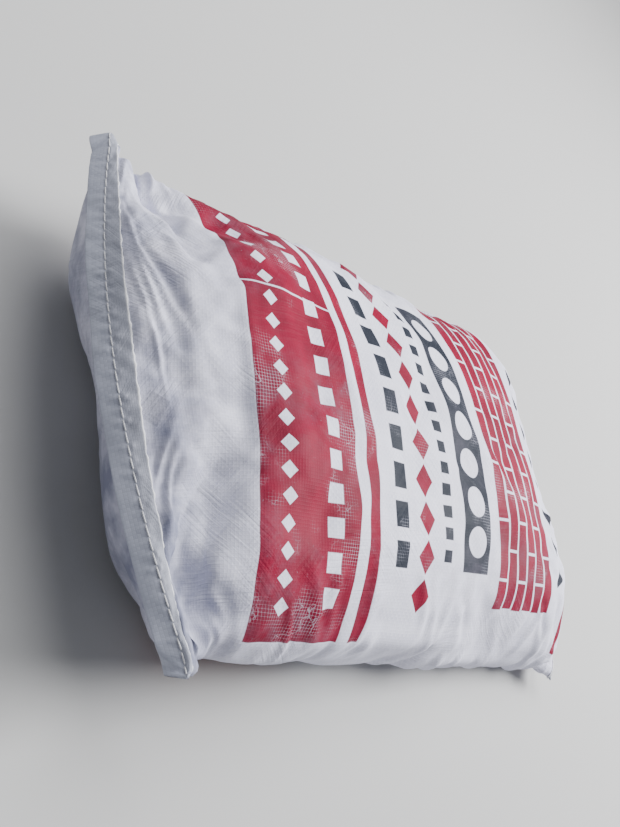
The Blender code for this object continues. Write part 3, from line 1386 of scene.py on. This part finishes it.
class Coat:
    """A material in the making: its shader, the places on its piece, and the piece's smudges."""

    def __init__(self, name: str) -> None:
        """Makes the material with its shader.

        Args:
            name: The material's name.
        """
        self.material = bpy.data.materials.new(name)
        self.material.use_nodes = True
        tree = self.material.node_tree
        self.shader = tree.nodes["Principled BSDF"].inputs
        self.flat = add_node(tree, "ShaderNodeUVMap", {}, "UV", uv_map="flat")
        self.place = add_node(tree, "ShaderNodeTexCoord", {}, "Object")
        self.patch, self.speck = Smudge().place(self.place)

    def finish(self, colour: Signal, rough: Signal, height: Signal) -> bpy.types.Material:
        """Joins the shader up.

        Args:
            colour: The surface's colour.
            rough: Its roughness.
            height: Its relief, in millimetres.

        Returns:
            The material.
        """
        given = {"Distance": 0.001, "Height": height}
        feed(self.shader["Base Color"], colour)
        feed(self.shader["Roughness"], rough)
        feed(self.shader["Normal"], add_node(self.place.tree, "ShaderNodeBump", given, "Normal"))
        return self.material


@dataclass(frozen=True)
class PrintedFabric:
    """White laminated tape fabric with crimson and slate print, greyed near its bottom seam by dust and
    painted shade. Its reliefs are in millimetres.
    """

    ground: Colour = srgb(236, 236, 252)
    shade: Colour = srgb(222, 222, 241)
    # A dark bluish grey for dust and for painted shade by the bottom seam and towards the -Y side.
    dust_and_shade: Colour = srgb(132, 135, 158)
    dirt: Colour = srgb(128, 122, 138)
    crimson: Colour = srgb(136, 0, 46)
    deep_crimson: Colour = srgb(92, 0, 30)
    slate: Colour = srgb(30, 36, 48)
    tape_width: float = 0.0024
    weave_relief: float = 0.065
    crinkle_relief: Pair = (0.16, 0.26)
    cloud_relief: float = 0.9
    seam_zone: Pair = (0.12, 0.01)
    # How far and how strongly dust and painted shade grey the face by the bottom seam, and how much painted
    # shade darkens its -Y side.
    dust_and_shade_share: Pair = (0.14, 0.92)
    near_side_shade: float = 0.42
    patch_share: float = 0.30
    speck_share: float = 0.35
    roughness: Pair = (0.60, 0.78)
    sheen: float = 0.15
    fold_turn: float = -34.0
    fold_show: float = 0.26
    fold_heights: Pair = (0.085, 0.105)
    cloud: Clouds = Clouds(26.0, 4.0, 0.6)
    wear: Clouds = Clouds(15.0, 3.0, 0.6)
    fold_line: Clouds = Clouds(22.0, 4.0, 0.55)
    rubbed_fold: float = 0.55
    rubbed_gap: float = 0.50
    ink_depth: float = 0.6

    def build(self) -> bpy.types.Material:
        """Makes the material.

        Returns:
            The material.
        """
        coat = Coat("printed_fabric")
        coat.shader["Specular IOR Level"].default_value = self.sheen
        height, tone, gap = TapeWeave().place(coat.flat, self.tape_width)
        crinkle, = Crinkle().place(coat.flat)
        along, across, _ = coat.flat.parts()
        near_seam = along.ramp(*self.seam_zone)
        cloud = coat.place.noise(self.cloud)
        # Dust and painted shade in clouds by the bottom seam, with more painted shade towards the -Y side.
        dust_and_shade = cloud.ramp(0.25, 0.75) * near_seam.mix(*self.dust_and_shade_share)
        dust_and_shade = (near_seam * across.ramp(0.12, -0.20) * self.near_side_shade).maths("ADD", dust_and_shade, clamp=True)
        ground = dust_and_shade.blend(tone.blend(self.ground, self.shade), self.dust_and_shade)
        ground = (self._show_through(coat) * near_seam).blend(ground, self.slate)
        colour = self._inked(coat, ground, cloud, gap)
        colour = (coat.patch * self.patch_share).blend(colour, self.dirt)
        colour = (coat.speck * self.speck_share).blend(colour, self.dirt)
        rough = (coat.patch * 0.5 + crinkle * 0.5).mix(*self.roughness)
        relief = crinkle * near_seam.mix(*self.crinkle_relief) + height * self.weave_relief
        return coat.finish(colour, rough, cloud * self.cloud_relief + relief)

    def _show_through(self, coat: Coat) -> Signal:
        """How much of the print on a hidden fold shows through the upper sheet.

        Args:
            coat: The material in the making.

        Returns:
            A faint mask of the hidden print.
        """
        crimson, slate = BagPrint().place(coat.flat.turned(self.fold_turn, (1.0, 1.0), (-0.25, 0.0)))
        faint = (crimson * 0.5).maths("ADD", slate, clamp=True)
        return faint * coat.place.parts()[2].ramp(*self.fold_heights) * self.fold_show

    def _inked(self, coat: Coat, ground: Signal, cloud: Signal, gap: Signal) -> Signal:
        """Lays the two inks on the fabric, thin where its weave or a fold has rubbed them.

        Args:
            coat: The material in the making.
            ground: The bare fabric's colour.
            cloud: A cloudy value from 0 to 1.
            gap: Where the tapes leave a gap.

        Returns:
            The printed colour.
        """
        crimson, slate = BagPrint().place(coat.flat)
        worn = coat.flat.noise(self.wear).ramp(0.52, 0.68)
        fold = abs(coat.flat.noise(self.fold_line) - 0.5).ramp(0.006, 0.0) * worn * self.rubbed_fold
        kept = 1.0 - fold.maths("MAXIMUM", gap * worn * self.rubbed_gap)
        red = (cloud.ramp(0.35, 0.7) * self.ink_depth).blend(self.crimson, self.deep_crimson)
        return (slate * kept).blend((crimson * kept).blend(ground, red), self.slate)


@dataclass(frozen=True)
class HemFabric:
    """The fabric's reverse side, which the folded hem turns out, with a pale raw edge. Its grey is partly
    the fabric's own tone and partly painted shade, and its flap is darkened further with painted shade.
    """

    # Greys darker than the upper sheet's white: partly the reverse side's own tone, partly painted shade.
    ground: Colour = srgb(190, 194, 210)
    shade: Colour = srgb(162, 166, 184)
    edge: Colour = srgb(248, 248, 252)
    dirt: Colour = srgb(104, 104, 112)
    tape_width: float = 0.0024
    weave_relief: float = 0.055
    crinkle_relief: float = 0.14
    mottle_relief: float = 0.15
    mottle: Clouds = Clouds(160.0, 4.0, 0.65)
    edge_reach: Pair = (0.0022, 0.0002)
    stitch_grime: float = 0.45
    stitch_reach: float = 0.0035
    # How much painted shade darkens the flap past the stitches, and how soon it starts.
    flap_shade: float = 0.32
    flap_start: float = 0.002
    gap_share: float = 0.14
    patch_share: float = 0.35
    speck_share: float = 0.4
    roughness: Pair = (0.50, 0.72)

    def build(self, name: str, raw_edge: float, stitches: float) -> bpy.types.Material:
        """Makes the material.

        Args:
            name: The material's name.
            raw_edge: Where round the hem its raw edge lies, in flat metres.
            stitches: Where round the hem its stitches lie.

        Returns:
            The material.
        """
        coat = Coat(name)
        height, tone, gap = TapeWeave().place(coat.flat, self.tape_width)
        crinkle, = Crinkle().place(coat.flat)
        round_hem = coat.flat.parts()[0]
        mottle = coat.place.noise(self.mottle)
        ground = (tone * 0.5 + mottle * 0.5).blend(self.ground, self.shade)
        ground = (gap * self.gap_share).blend(ground, self.dirt)
        grime_and_flap_shade = abs(round_hem - stitches).ramp(self.stitch_reach, 0.0) * mottle.ramp(0.3, 0.7)
        grime_and_flap_shade = (grime_and_flap_shade * self.stitch_grime).maths("MAXIMUM", coat.patch * self.patch_share)
        # Painted shade on the flap past the stitches, added to the grime.
        flap_shade_mask = round_hem.ramp(stitches, stitches + self.flap_start)
        grime_and_flap_shade = (flap_shade_mask * self.flap_shade).maths("ADD", grime_and_flap_shade, clamp=True)
        colour = grime_and_flap_shade.maths("MAXIMUM", coat.speck * self.speck_share).blend(ground, self.dirt)
        colour = abs(round_hem - raw_edge).ramp(*self.edge_reach).blend(colour, self.edge)
        relief = height * self.weave_relief + crinkle * self.crinkle_relief
        return coat.finish(colour, mottle.mix(*self.roughness), mottle * self.mottle_relief + relief)


@dataclass(frozen=True)
class TwistedThread:
    """Matt white sewing thread, twisted from three plies, with painted shade in the grooves between them."""

    pale: Colour = srgb(222, 222, 226)
    # A grey for the painted shade in the grooves and for grime in patches.
    shade_and_grime: Colour = srgb(160, 160, 166)
    twist_pitch: float = 0.0016
    girth: float = 0.00377
    # How dark the painted shade in the grooves is.
    groove_shade_share: float = 0.5
    patch_share: float = 0.6
    roughness: Pair = (0.72, 0.85)
    ply_relief: float = 0.12

    def build(self) -> bpy.types.Material:
        """Makes the material.

        Returns:
            The material.
        """
        coat = Coat("twisted_thread")
        length, round_thread, _ = coat.flat.parts()
        plies = length * (1.0 / self.twist_pitch) + round_thread / self.girth
        ply = abs((plies * math.pi).maths("SINE"))
        # Painted shade in the grooves between the plies, plus grime in patches.
        groove_shade_and_grime = (1.0 - ply) * self.groove_shade_share + coat.patch * self.patch_share
        colour = groove_shade_and_grime.blend(self.pale, self.shade_and_grime)
        return coat.finish(colour, coat.speck.mix(*self.roughness), ply * self.ply_relief)


@dataclass(frozen=True)
class SoftBox:
    """A round area light that points at the origin."""

    name: str
    place: tuple[float, float, float]
    size: float
    power: float

    def build(self) -> None:
        """Makes the light."""
        data = bpy.data.lights.new(self.name, "AREA")
        data.shape = "DISK"
        data.size = self.size
        data.energy = self.power
        light = add_object(self.name, data)
        light.location = self.place
        light.rotation_euler = (-Vector(self.place)).to_track_quat("-Z", "Y").to_euler()


@dataclass
class Studio:
    """A pale floor, soft light and a camera that sees the bag as the photograph does."""

    from_seam: tuple[float, float, float] = (-0.337, -0.296, 0.449)
    aim: tuple[float, float, float] = (-0.058, 0.015, 0.065)
    roll: float = math.radians(-59.0)
    lens: float = 43.0
    floor_size: float = 12.0
    floor_colour: Colour = (0.50, 0.50, 0.50, 1.0)
    floor_roughness: float = 0.85
    sky_colour: Colour = (0.93, 0.96, 1.0, 1.0)
    sky_strength: float = 0.28
    boxes: tuple[SoftBox, ...] = (
        SoftBox("key", (1.6, -0.1, 1.6), 1.3, 114.0),
        SoftBox("top", (0.1, 1.0, 1.9), 1.6, 37.0),
    )

    def build(self, seam: SeamLine) -> None:
        """Makes the camera, the floor and the lights.

        Args:
            seam: The seam nearest the camera, which its place is taken from.
        """
        self._camera(seam.at(0.0) + Vector(self.from_seam))
        self._floor()
        self._sky()
        for box in self.boxes:
            box.build()

    def _camera(self, station: Vector) -> None:
        """A camera at the photograph's station point, turned about its line of sight.

        Args:
            station: Where the camera stands.
        """
        data = bpy.data.cameras.new("camera")
        data.lens = self.lens
        camera = add_object("camera", data)
        level = (Vector(self.aim) - station).to_track_quat("-Z", "Y")
        camera.rotation_mode = "QUATERNION"
        camera.rotation_quaternion = level @ Quaternion((0.0, 0.0, 1.0), -self.roll)
        camera.location = station
        bpy.context.scene.camera = camera

    def _floor(self) -> None:
        """A wide pale floor."""
        bpy.ops.mesh.primitive_plane_add(size=self.floor_size)
        floor = bpy.context.object
        floor.name = "floor"
        material = bpy.data.materials.new("floor")
        material.use_nodes = True
        shader = material.node_tree.nodes["Principled BSDF"].inputs
        shader["Base Color"].default_value = self.floor_colour
        shader["Roughness"].default_value = self.floor_roughness
        floor.data.materials.append(material)

    def _sky(self) -> None:
        """An even pale sky."""
        world = bpy.data.worlds.new("sky")
        bpy.context.scene.world = world
        world.use_nodes = True
        sky = world.node_tree.nodes["Background"].inputs
        sky["Color"].default_value = self.sky_colour
        sky["Strength"].default_value = self.sky_strength


def main() -> None:
    """Builds the bag's pieces in order."""
    logging.basicConfig(level=logging.INFO, format="%(name)s: %(message)s")
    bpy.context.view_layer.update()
    seams = {end: SeamLine.from_frame(end) for end in End}
    Studio().build(seams[End.BOTTOM])
    fill = FilledSack()
    surface = FabricSurface(fill.settle(seams), fill.length, fill.width)
    fabric = SackSkin(surface, FabricRelief(surface)).build()
    fabric.data.materials.append(PrintedFabric().build())
    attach(fabric, "root")
    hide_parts("sack")
    log.info("%s", fabric.name)
    thread_finish = TwistedThread().build()
    for end, level_share in ((End.BOTTOM, 0.0), (End.MOUTH, 1.1)):
        hem = SewnHem(surface, end, level_share=level_share)
        strip = hem.build()
        finish = HemFabric().build(strip.name, hem.run_at(hem.flap_reach), hem.run_at(0.0))
        strip.data.materials.append(finish)
        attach(strip, "root")
        thread = ChainStitch(hem).build()
        thread.data.materials.append(thread_finish)
        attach(thread, "root")
        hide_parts(end.stitching)
        log.info("%s and %s", strip.name, thread.name)


if __name__ == "__main__":
    main()
